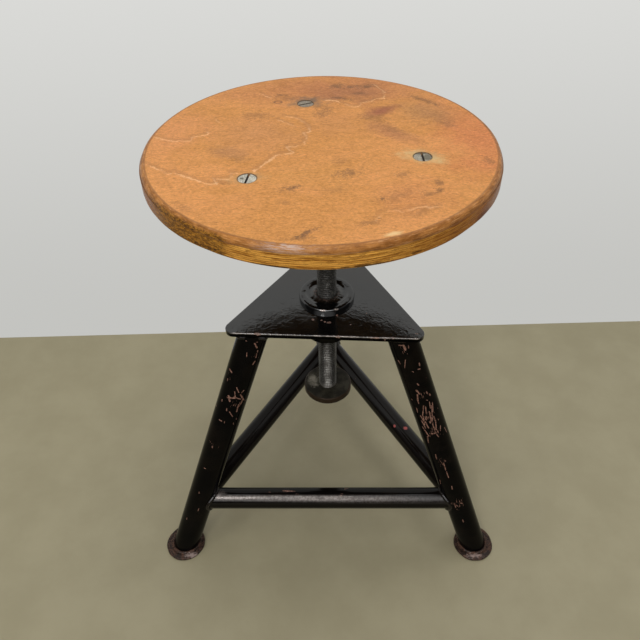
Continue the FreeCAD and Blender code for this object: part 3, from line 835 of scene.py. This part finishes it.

# %% [markdown]
# ## Black enamel for the frame
# Plate, legs, stretchers and nut are all painted with the same gloss black, but each has its own damage: the
# plate is worn bright along its front edge, the right leg is scraped to the primer, and the front stretcher
# is worn bare by shoes. Painted highlights lie along the plate's edge and the stretcher's front, and on
# the nut's rim. So each gets its own masks and the shared enamel group does the rest.

# %% Chips that follow a tube
def along(place, low, high):
    """The place in a tube's own axes, so that scratches can run along it."""
    axis = (Vector(high) - Vector(low)).normalized()
    side = axis.orthogonal().normalized()
    other = axis.cross(side)
    parts = {i: vector("DOT_PRODUCT", place, tuple(way)) for i, way in enumerate((side, other, axis))}
    return put("ShaderNodeCombineXYZ", parts).outputs[0]


def scrapes(tube_place, where, long, size, few, many):
    """Chips drawn out along the tube: few of them everywhere, many where the mask says."""
    pattern = cloud(stretched(tube_place, 1.0, 1.0, long), size, 5.0, 0.62, 0.3)
    limit = times(where, many - few, few)
    return ramp(calc("SUBTRACT", pattern, limit), 0.0, 0.025)


# %% Points on a leg
LEG, TOP_CIRCLE = 16.85, 91.0             # a leg's radius, and the circle on which the legs meet the plate
LEGS = LEFT, RIGHT, REAR = 210, 330, 90   # the ways in degrees in which the legs stand


def polar(radius, turn, z=0.0):
    """A point by its distance from the spindle's axis, its turn round it, and its height."""
    return Vector((radius * math.cos(turn), radius * math.sin(turn), z))


def leg_point(azimuth, z):
    """A point on a leg's axis. It runs from the foot circle on the floor to the top circle at the plate."""
    radius = FOOT_CIRCLE + (TOP_CIRCLE - FOOT_CIRCLE) * z / PLATE_UNDER
    return polar(radius, math.radians(azimuth), z)


def on_leg(azimuth, height, turn, radius=LEG):
    """A point on a leg's outside, by the height of its place on the axis and the turn round it. Also gives
    the axis."""
    axis = (leg_point(azimuth, PLATE_UNDER) - leg_point(azimuth, 0)).normalized()
    side = Vector((0, 0, 1)).cross(axis).normalized()
    out = side * math.cos(turn) + axis.cross(side) * math.sin(turn)
    return leg_point(azimuth, height) + out * radius, axis


# %% Scratches at given places, and chips round them
FINENESS = 0.72   # how much finer the scratches are drawn than they were measured


def scratched(place, azimuth, scratches):
    """Scratches through the paint of a leg. Each is height, angle, height, angle and half its width."""
    nearest, here = 100.0, place
    for low, start, high, end, width in scratches:
        ends = on_leg(azimuth, low, math.radians(start))[0], on_leg(azimuth, high, math.radians(end))[0]
        reach = use(line_reach, "Distance", Place=here, Start=ends[0], End=ends[1])
        nearest = calc("MINIMUM", nearest, calc("DIVIDE", reach, FINENESS * width))
        here = vector("ADD", place, vector("SCALE", (1e-6, 1e-6, 1e-6), nearest))
    frayed = times(border(place, 0.5), 1.5, nearest)
    return ramp(frayed, 0.75, 1.15, 1.0, 0.0)


def leg_masks(azimuth, clusters, scratches, red_at, few, many, brown):
    """Single scratches at given places, fine scrapes in the clusters, and a brown haze."""
    def masks(place):
        tube = along(place, leg_point(azimuth, 0), leg_point(azimuth, PLATE_UNDER))
        where = patches(place, clusters, 0.5, 0.9)
        chips = scrapes(tube, where, 0.22, 0.7, few, many)
        chips = calc("MAXIMUM", chips, scratched(place, azimuth, scratches))
        haze = ramp(cloud(tube, 0.03, 5.0, 0.7), 0.42, 0.7, 0.0, brown)
        return {"Chips": chips, "Red": patches(place, red_at, 0.4, 0.4, 0.4), "Grime": haze, "Ripple": 0.7}
    return masks


# %% Where the legs are chipped and scratched
left_clusters = [(-104, -78, 256, 20), (-78, -62, 318, 13), (-110, -70, 288, 12), (-140, -90, 190, 16)]
left_scratches = [
    (333, 127, 335, 171, 0.7), (333, 162, 328, 175, 1.3), (324, -177, 322, -176, 1.0),
    (320, -177, 315, -175, 0.9), (306, -179, 310, -174, 1.0), (320, 144, 315, 148, 0.6),
    (290, 94, 289, 110, 1.4), (278, 100, 276, 101, 0.9), (257, 125, 260, 152, 1.6),
    (260, 127, 254, 137, 1.5), (261, 150, 259, 177, 1.2), (265, 171, 257, -167, 1.3),
    (274, 147, 268, 161, 0.8), (268, 145, 260, 155, 0.8), (268, 173, 271, 179, 0.8),
    (257, -172, 252, -176, 1.2), (253, -172, 247, 176, 1.0), (251, 176, 241, 178, 1.1),
    (240, 149, 234, 167, 0.9), (243, 135, 240, 137, 0.8), (250, 104, 248, 105, 0.9),
    (224, 120, 224, 130, 1.0), (225, 142, 223, 143, 0.7), (231, -173, 229, -172, 0.7),
    (224, -180, 222, -178, 0.7), (185, 125, 183, 126, 1.0), (236, 78, 235, 81, 0.7),
    (149, 119, 149, 125, 0.9), (111, 130, 109, 131, 0.8), (84, 150, 80, 150, 0.7), (60, 110, 58, 112, 0.7)]
right_clusters = [(107, -77, 264, 16), (120, -82, 232, 22), (124, -86, 212, 18), (86, -65, 326, 12),
                  (140, -96, 165, 16), (165, -110, 95, 20)]
right_scratches = [
    (330, 15, 329, 29, 0.9), (329, 29, 323, 31, 1.5), (310, -12, 306, -8, 0.9), (311, 19, 301, 6, 0.6),
    (301, 66, 298, 64, 1.1), (295, 54, 294, 62, 1.0), (295, 30, 294, 33, 0.7), (278, 33, 276, 36, 1.0),
    (270, 21, 265, 28, 1.4), (264, 19, 256, 13, 1.1), (256, 13, 252, 13, 0.9), (259, 66, 257, 67, 1.2),
    (254, 46, 253, 50, 0.8), (257, -14, 256, -11, 0.7), (248, 28, 234, 11, 0.8), (246, 34, 236, 29, 0.9),
    (250, 55, 242, 51, 0.8), (247, 66, 236, 56, 0.9), (244, 58, 226, 44, 0.9), (238, 42, 224, 37, 0.9),
    (230, 53, 222, 53, 0.8), (223, 54, 211, 46, 0.9), (221, 39, 212, 39, 0.8), (245, -4, 239, -6, 0.8),
    (234, 2, 227, 8, 1.0), (233, 13, 221, 6, 1.0), (227, -1, 216, 6, 1.0), (225, 14, 216, 18, 1.0),
    (217, -7, 209, 3, 1.0), (209, 3, 204, 7, 1.1), (207, 22, 207, 39, 1.2), (205, 41, 200, 45, 0.7),
    (203, 1, 193, -5, 0.9), (213, 68, 207, 61, 0.8), (206, 85, 198, 89, 0.7), (161, 30, 150, 29, 0.8),
    (147, 30, 137, 30, 0.8), (132, -15, 125, -18, 0.7), (123, 31, 118, 29, 0.8), (175, 9, 168, 7, 0.8),
    (91, 17, 86, 17, 0.7), (64, 29, 60, 29, 0.8)]
right_red = [(102, -62, 304, 1.6, 1.6, 5.0), (112, -70, 286, 1.2)]
rear_clusters = [(0, 130, 220, 24), (0, 180, 120, 20)]
rear_scratches = [(300, -10, 292, 5, 1.2), (250, 190, 240, 186, 1.0), (190, 20, 181, 30, 1.1),
                  (88, 95, 84, 110, 0.9), (150, 60, 139, 66, 0.8)]


# %% The legs' enamel
def coat(**finishes):
    """Gives CAD nodes, by name, their finishes."""
    for node, finish in finishes.items():
        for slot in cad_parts[node].material_slots:
            slot.material = finish


# each leg: its clusters, its scratches, its red specks, how few and how many chips, how brown the haze is
LEG_WEAR = {
    "left": (left_clusters, left_scratches, [(-190, -120, 8, 5)], 0.8, 0.6, 0.07),
    "right": (right_clusters, right_scratches, right_red, 0.79, 0.56, 0.14),
    "rear": (rear_clusters, rear_scratches, [], 0.79, 0.58, 0.14)}
for azimuth, (side, wear) in zip(LEGS, LEG_WEAR.items()):
    coat(**{"leg_" + side: painted("enamel_" + side + "_leg", leg_masks(azimuth, *wear), 0.05)})
print("scratches on the legs:", len(left_scratches) + len(right_scratches) + len(rear_scratches))

# %% Masks for the plate and the nut
PLATE_SIDES, PLATE_REACH = (-93, 27, 147), 66.0   # the ways in which its sides face, and how far out they are


def plate_masks(place):
    """A bright line along the front top edge, partly wear and partly painted highlight, spots and dots of
    primer, and grime with a painted sheen at the back.
    """
    parts = axes_of(place)
    # partly painted highlight, partly wear: a bright bare line along the top of the front side
    from_edge = vector("DOT_PRODUCT", place, polar(1.0, math.radians(PLATE_SIDES[0])))
    near_edge = near(from_edge, PLATE_REACH, 0.6, 1.7, 1.0)
    on_top = ramp(parts[2], 346.4, 347.4)
    line = times(near_edge, on_top)
    uneven = ramp(cloud(place, 0.1, 4.0, 0.7), 0.36, 0.62, 0.1, 0.85)
    edge = use(edge_wear, "Mask", Place=place, Width=1.6, Amount=0.4, Patch=0.1)
    spots = [(-75, -62.5, 347.5, 6, 4, 3), (12, -66, 347, 4, 2.5, 2), (53, -68.5, 347, 10, 2.4, 2.2),
             (70, -68.6, 347, 9, 2.6, 2.4), (84, -67.5, 346.5, 6, 2.4, 2.6), (96, -63, 347, 5, 3, 2),
             (62, -69, 345, 3, 2, 2), (78, -69, 344.5, 4, 2, 2)]
    dots = [(-15, -40, 1.8), (-6, -41, 1.3), (2.4, -44.7, 3.0, 1.7, 2), (-2, -43.5, 1.2),
            (11.3, -33, 1.3, 2.0, 2), (26, -48, 1.0), (-31, 29, 1.0), (44, -30, 1.0)]
    dots = [(x, y, PLATE_TOP, *size) for x, y, *size in dots]
    chips = scrapes(place, patches(place, spots, 0.4, 0.7), 1.0, 0.62, 0.82, 0.4)
    chips = calc("MAXIMUM", chips, times(patches(place, dots, 0.7, 0.5, 0.45), 0.8))
    bare = calc("MAXIMUM", times(line, uneven), times(edge, 0.25))
    # grime and painted sheen: the back of the plate's top is lighter and rougher
    dust_and_sheen = ramp(parts[1], -10, 50, 0.0, 0.35)
    return {"Chips": chips, "Bare": bare, "Grime": times(dust_and_sheen, on_top), "Ripple": 2.3,
            "Dark": ramp(parts[2], 347.0, 346.4)}


def nut_masks(place):
    """Grimy and chipped round the bore, with two painted highlights drawn as bare metal at the front."""
    bore = ramp(from_spindle(place), 13.0, 19.0, 1.0, 0.0)
    chips = scrapes(place, bore, 1.0, 0.55, 0.78, 0.56)
    # painted highlights: two bright bare-metal spots on the front of the collar's rim
    painted_glints = patches(place, [(-4.7, -30.6, 353, 4.6, 1.6, 1.6), (11.3, -29.0, 353, 4.6, 1.8, 1.6)], 0.2, 0.5)
    chips, grime = times(chips, 0.7), times(bore, 0.7)
    under = ramp(vector("DOT_PRODUCT", place, (0, 0, 1)), 347.0, 346.0)
    return {"Chips": chips, "Grime": grime, "Bare": painted_glints, "Ripple": 2.2, "Dark": under}


# %% Masks for the stretchers and for what is under the seat
BAR, BAR_LEVEL = 13.45, 85.5   # a stretcher's radius and height


def bar_masks(first, second, worn, red_at=()):
    """Chips along a stretcher from one leg to another. The worn one is scraped bare on its front by shoes,
    and a band of bare streaks along its middle is partly painted highlight.
    """
    def masks(place):
        tube = along(place, leg_point(first, BAR_LEVEL), leg_point(second, BAR_LEVEL))
        parts = axes_of(place)
        chips = scrapes(tube, 0.0, 0.3, 0.45, 0.75, 0.5)
        red = patches(place, red_at, 0.4, 0.4, 0.4)
        if not worn:
            return {"Chips": chips, "Red": red, "Grime": 0.15, "Ripple": 1.0}
        front = ramp(parts[1], -99.0, -102.5)
        streak = cloud(stretched(tube, 1.0, 1.0, 0.12), 0.34, 6.0, 0.7)
        # partly painted highlight, partly shoe wear: a band of bare streaks along the middle of the front,
        # fading to the right
        middle = times(parts[0], -0.012, 96.6)
        band = near(parts[2], middle, 0.2, 5.5, 1.0)
        fading = ramp(parts[0], 0, 150, 0.5, 0.1)
        wear_and_highlight_band = times(band, front)
        streaks = times(fading, ramp(streak, 0.3, 0.62, 0.45, 1.0))
        bare = times(wear_and_highlight_band, streaks)
        scuffed = [(-60, -96, 99, 46, 8, 4), (22.9, -88.7, 97, 10, 6, 4), (16, -100, 98.5, 14, 4, 2)]
        scuff = scrapes(tube, patches(place, scuffed, 0.5, 0.9), 0.12, 0.34, 0.8, 0.52)
        # partly painted highlight, partly wear: the bright bare patch at the left end of the band
        end = patches(place, [(-142, -100, 96, 14, 8, 12)], 0.5, 0.8)
        chips = calc("MAXIMUM", chips, scuff)
        bare = calc("MAXIMUM", bare, times(end, 0.5))
        under = ramp(parts[2], 91.0, 84.0, 0.0, 0.95)
        return {"Chips": chips, "Red": red, "Bare": bare, "Grime": 0.08, "Ripple": 1.0, "Dark": under}
    return masks


def plain_masks(place):
    """Worn corners and a few chips."""
    edge = use(edge_wear, "Mask", Place=place, Width=0.9, Amount=0.35, Patch=0.15)
    chips = scrapes(place, 0.0, 1.0, 0.4, 0.77, 0.5)
    return {"Chips": chips, "Bare": times(edge, 0.3), "Grime": 0.25}


def weld_masks(place):
    """Chips, and bright ends at the front stretcher."""
    bright_ends = patches(place, [(-151, -98, 92, 12, 8, 12), (150, -98, 94, 7, 6, 7)], 0.5, 0.7)
    chips = scrapes(place, 0.0, 1.0, 0.5, 0.76, 0.5)
    return {"Chips": chips, "Bare": times(bright_ends, 0.8), "Grime": 0.2}


# %% The frame's enamels
red_specks = [(93.8, 13.3, 95.7, 2.4), (108.6, 7.1, 98.9, 3.4, 3.4, 2.2)]
plate_enamel = painted("enamel_plate", plate_masks, 0.9)
nut_enamel = painted("enamel_nut", nut_masks, 0.8)
front_enamel = painted("enamel_front_bar", bar_masks(LEFT, RIGHT, True), 0.16)
left_bar_enamel = painted("enamel_left_bar", bar_masks(LEFT, REAR, False), 0.14)
right_bar_enamel = painted("enamel_right_bar", bar_masks(RIGHT, REAR, False, red_specks), 0.2)
plain_enamel = painted("enamel_under_seat", plain_masks, 0.25)
weld_enamel = painted("enamel_welds", weld_masks, 0.25)
coat(frame_plate=plate_enamel, stretcher_front=front_enamel, stretcher_left=left_bar_enamel,
     stretcher_right=right_bar_enamel, seat_plate=plain_enamel, seat_hub=plain_enamel)

# %% [markdown]
# ## Nut
# The nut is a flanged bush: a round collar stands on the plate, and a boss hangs under it. Spinning one
# closed profile gives both with the rounded, paint-filled corners that the photograph shows.

# %% The nut's collar and boss
profile = [(11.3, 298.5), (12.0, 298.0), (26.0, 298.0)] + arc(26, 299, 1, -90, 0, 3)
profile += [(27, 345.5), (28.5, 347.2), (31.4, 347.9)] + arc(28.6, 351.1, 2.9, 0, 90, 8)
profile += arc(24.6, 353.6, 0.4, 90, 150, 2) + [(22.5, 352.7), (20.2, 352.3), (18.0, 352.6)]
profile += [(16.2, 353.5), (14.4, 354.0), (12.6, 353.8), (11.3, 352.8), (11.3, 298.5)]
bm = spun(profile, 120)
for v in bm.verts:
    r = math.hypot(v.co.x, v.co.y)
    if v.co.z > 0.3485:
        wobble = noise.noise(v.co * 90) * 0.00035 + noise.noise(v.co * 300) * 0.00018
        shrink = 1 - max(0.0, wobble + 0.0001) / r
        v.co.x, v.co.y = v.co.x * shrink, v.co.y * shrink
        crust = 0.0008 * max(0.0, noise.noise(v.co * 520)) if 0.0125 < r < 0.0195 else 0.0
        v.co.z -= max(0.0, noise.noise(v.co * 140)) * 0.0003 + crust
finish_piece("nut_painted", bm, "frame", ["spindle_nut"], nut_enamel, sharp=45)

# %% [markdown]
# ## Weld beads
# A bead of weld metal closes every joint of the frame. It is laid as a row of overlapping drops, so its
# thickness pulses. A curve whose radius changes from point to point gives exactly that. The path of a bead is
# where the tube's wall meets the other surface, found by sliding each point of a circle along the tube.

# %% A bead of weld metal
def bead(name, paths, thick, body, node, material, drop, seed):
    """Closed curves with a pulsing thickness, turned into one mesh. thick is in millimetres."""
    whole = bmesh.new()
    for number, path in enumerate(paths):
        curve = bpy.data.curves.new(name, "CURVE")
        curve.dimensions, curve.bevel_depth, curve.bevel_resolution = "3D", thick * MM, 3
        line = curve.splines.new("POLY")
        line.points.add(len(path) - 1)
        line.use_cyclic_u = True
        length = 0.0
        for index, (dot, at) in enumerate(zip(line.points, path)):
            length += (path[index] - path[index - 1]).length if index else 0.0
            pulse = abs(math.sin(math.pi * length / drop + 1.3 * noise.noise(at * 0.2)))
            lump = noise.noise(at * 0.11 + Vector((seed, number * 7.0, 0)))
            dot.co = (*(at * MM), 1.0)
            dot.radius = 0.8 + 0.2 * pulse + 0.22 * lump
        holder = bpy.data.objects.new(name, curve)
        made = bpy.data.meshes.new_from_object(holder)
        whole.from_mesh(made)
        bpy.data.objects.remove(holder)
        bpy.data.meshes.remove(made)
    return finish_piece(name, whole, body, [node], material, sharp=75)


# %% The paths of the beads
def whole_turn(steps):
    """The angles of a whole turn in even steps."""
    return [math.tau * i / steps for i in range(steps)]


def ring_on_plane(azimuth, radius, z):
    """Where a leg of this radius meets a level plane."""
    path = []
    for turn in whole_turn(120):
        point, axis = on_leg(azimuth, z, turn, radius)
        path.append(point + axis * ((z - point.z) / axis.z))
    return path


def ring_on_leg(first, second):
    """Where the stretcher from one leg to another meets the first leg."""
    start, end = leg_point(first, BAR_LEVEL), leg_point(second, BAR_LEVEL)
    way = (end - start).normalized()
    side = Vector((0, 0, 1)).cross(way)
    axis = on_leg(first, 0, 0)[1]
    path = []
    for turn in whole_turn(96):
        point = start + (side * math.cos(turn) + Vector((0, 0, 1)) * math.sin(turn)) * BAR
        gap, run = point - start, way - axis * way.dot(axis)
        gap -= axis * gap.dot(axis)
        b, c = gap.dot(run), gap.dot(gap) - LEG ** 2
        far = (-b + math.sqrt(max(0.0, b * b - run.dot(run) * c))) / run.dot(run)
        path.append(point + way * far)
    return path


def ring_round(radius, z):
    """A level ring round the spindle's axis."""
    return [polar(radius, turn, z) for turn in whole_turn(120)]


TOP_BEAD = 3.2   # how thick the bead round the top of a leg is


def under_plate(path):
    """Draws points in that would come closer to the plate's sides than the bead is thick."""
    for point in path:
        for side in PLATE_SIDES:
            out = polar(1.0, math.radians(side))
            point -= out * max(0.0, point.dot(out) - (PLATE_REACH - TOP_BEAD))
    return path


# %% The beads of the frame and the hub
tops = [under_plate(ring_on_plane(a, LEG + 1.0, 339.6)) for a in LEGS]
bead("leg_top_beads", tops, TOP_BEAD, "frame", "leg_top_welds", plain_enamel, 3.2, 1.0)
bar_ends = [ring_on_leg(a, b) for a in LEGS for b in LEGS if a != b]
bead("stretcher_beads", bar_ends, 3.0, "frame", "stretcher_welds", weld_enamel, 3.0, 4.0)
bead("nut_bead", [ring_round(27.6, 340.2)], 2.8, "frame", "nut_weld", plain_enamel, 3.0, 9.0)
bead("hub_bead", [ring_round(21.6, 508.2)], 2.2, "seat", "hub_weld", plain_enamel, 3.0, 12.0)

# %% [markdown]
# ## Feet
# Each leg ends on a thick steel disc. The paint has worn off and the discs have rusted brown, with flakes of
# paint left next to the weld. The discs are spun, then dented with noise so that no two are alike.

# %% The rusty finish
foot_finish, shader, place = new_finish("rusty_feet")
rusty = rusted(place, 0.16)
flake = cloud(place, 0.2, 5.0, 0.65, 0.5)
left_paint = ramp(flake, 0.46, 0.54)
color = blend(times(left_paint, 0.8), rusty.outputs["Color"], (0.016, 0.012, 0.01))
wear_and_highlight = use(edge_wear, "Mask", Place=place, Width=1.5, Amount=0.35, Patch=0.25)
color = tinted(color, wear_and_highlight, 0.45, (0.22, 0.105, 0.052))
# painted highlight: a light patch on the front of each foot's top
highlight_spots = [(-186, -132, 3, 13, 5, 4), (195, -133, 3, 12, 5, 4), (-4, 206, 3, 12, 5, 4)]
painted_highlight = patches(place, highlight_spots, 0.9, 0.7, 0.35)
color = tinted(color, painted_highlight, 0.8, (0.36, 0.27, 0.235))
red = patches(place, [(-195, -126, 4, 5, 4, 4)], 0.4, 0.5, 0.3)
color = tinted(color, red, 0.7, (0.24, 0.075, 0.05))
shader.inputs["Specular IOR Level"].default_value = 0.16
connect(shader, color, ramp(left_paint, 0.0, 1.0, 0.62, 0.26), None, rusty.outputs["Height"], 0.55)

# %% The feet
profile = [(0, 0)] + arc(24.6, 1.4, 1.4, -90, 0, 4) + [(26, 2.4)] + arc(24.4, 2.4, 1.6, 0, 90, 5)
profile += [(20, 4.0), (12, 4.0), (0, 4.0)]
for azimuth, side in zip(LEGS, LEG_WEAR):
    centre = leg_point(azimuth, 0)
    bm = spun(profile, 72, centre)
    for v in bm.verts:
        arm = Vector((v.co.x - centre.x * MM, v.co.y - centre.y * MM, 0))
        if arm.length > 0.019:
            dent = 0.0003 + 0.0007 * max(-0.3, noise.noise(v.co * 75)) + 0.0003 * noise.noise(v.co * 240)
            v.co -= arm.normalized() * max(0.0, dent)
            if v.co.z > 0.003:
                v.co.z -= max(0.0, noise.noise(v.co * 90)) * 0.0007
    foot = "foot_" + side
    finish_piece(foot + "_rusty", bm, "frame", [foot], foot_finish, sharp=50)
foot_rings = [ring_on_plane(a, LEG + 0.5, 4.8) for a in LEGS]
bead("foot_beads", foot_rings, 2.5, "frame", "foot_welds", foot_finish, 3.0, 20.0)

# %% [markdown]
# ## Stop disc and the small hardware
# The stop disc is turned steel, grey on top and brown at its rim. Below it a nut and a pin hold it on the
# spindle's tip. Under the seat are plain nuts and washers. They are oiled, dull steel.

# %% The disc's finish
disc_finish, shader, place = new_finish("turned_disc_steel")
out_from = from_spindle(place)
lathe = cloud(put("ShaderNodeCombineXYZ", {0: out_from}).outputs[0], 1.6, 3.0, 0.6)
blotch = cloud(place, 0.09, 5.0, 0.7)
color = blend(ramp(blotch, 0.38, 0.66), (0.014, 0.012, 0.008), (0.044, 0.039, 0.027))
color = blend(ramp(lathe, 0.4, 0.65, 0.0, 0.5), color, (0.01, 0.008, 0.005))
smear = patches(place, [(-19, 4, 204, 9, 13, 4)], 0.9, 0.85)
color = tinted(color, smear, 0.7, (0.3, 0.27, 0.21))
at_rim = ramp(times(blotch, 3.0, out_from), 29.2, 31.0)
color = tinted(color, at_rim, 0.9, (0.022, 0.012, 0.006))
shader.inputs["Specular IOR Level"].default_value = 0.15
rough, metal = ramp(blotch, 0.3, 0.7, 0.55, 0.36), ramp(at_rim, 0.0, 1.0, 0.3, 0.1)
connect(shader, color, rough, metal, lathe, 0.05)

# %% The stop disc
profile = [(7.15, 194.9), (28.8, 194.9)] + arc(28.8, 196.1, 1.2, -90, 0, 4)[1:] + [(30, 202.4)]
profile += arc(28.6, 202.4, 1.4, 0, 90, 5)[1:] + [(24, 203.8), (12, 203.75), (7.15, 203.8), (7.15, 194.9)]
bm = spun(profile, 96)
for v in bm.verts:
    r = math.hypot(v.co.x, v.co.y)
    if r > 0.028:
        loss = max(0.0, 0.0001 + 0.0004 * noise.noise(v.co * 110) + 0.0002 * noise.noise(v.co * 300))
        v.co.x, v.co.y = v.co.x * (1 - loss / r), v.co.y * (1 - loss / r)
finish_piece("stop_disc_turned", bm, "stop", ["stop_disc"], disc_finish, sharp=50)

# %% Dull steel for nuts, washers and pins
dull_finish, shader, place = new_finish("dull_oiled_steel")
film = cloud(place, 0.22, 5.0, 0.7)
color = blend(ramp(film, 0.35, 0.68), (0.055, 0.048, 0.042), (0.26, 0.25, 0.23))
rusty = rusted(place, 0.3)
color = blend(ramp(film, 0.3, 0.42, 0.55, 0.0), color, rusty.outputs["Color"])
connect(shader, color, ramp(film, 0.3, 0.7, 0.6, 0.38), ramp(film, 0.3, 0.5, 0.4, 0.9), film, 0.1)
small_parts = {"seat_nuts": 0.35, "seat_washers": 0.2, "hub_pin": 0.4, "stop_nut": 0.4, "stop_pin": 0.25}
for node, width in small_parts.items():
    dressed(node, node + "_dull", "seat", dull_finish, width)
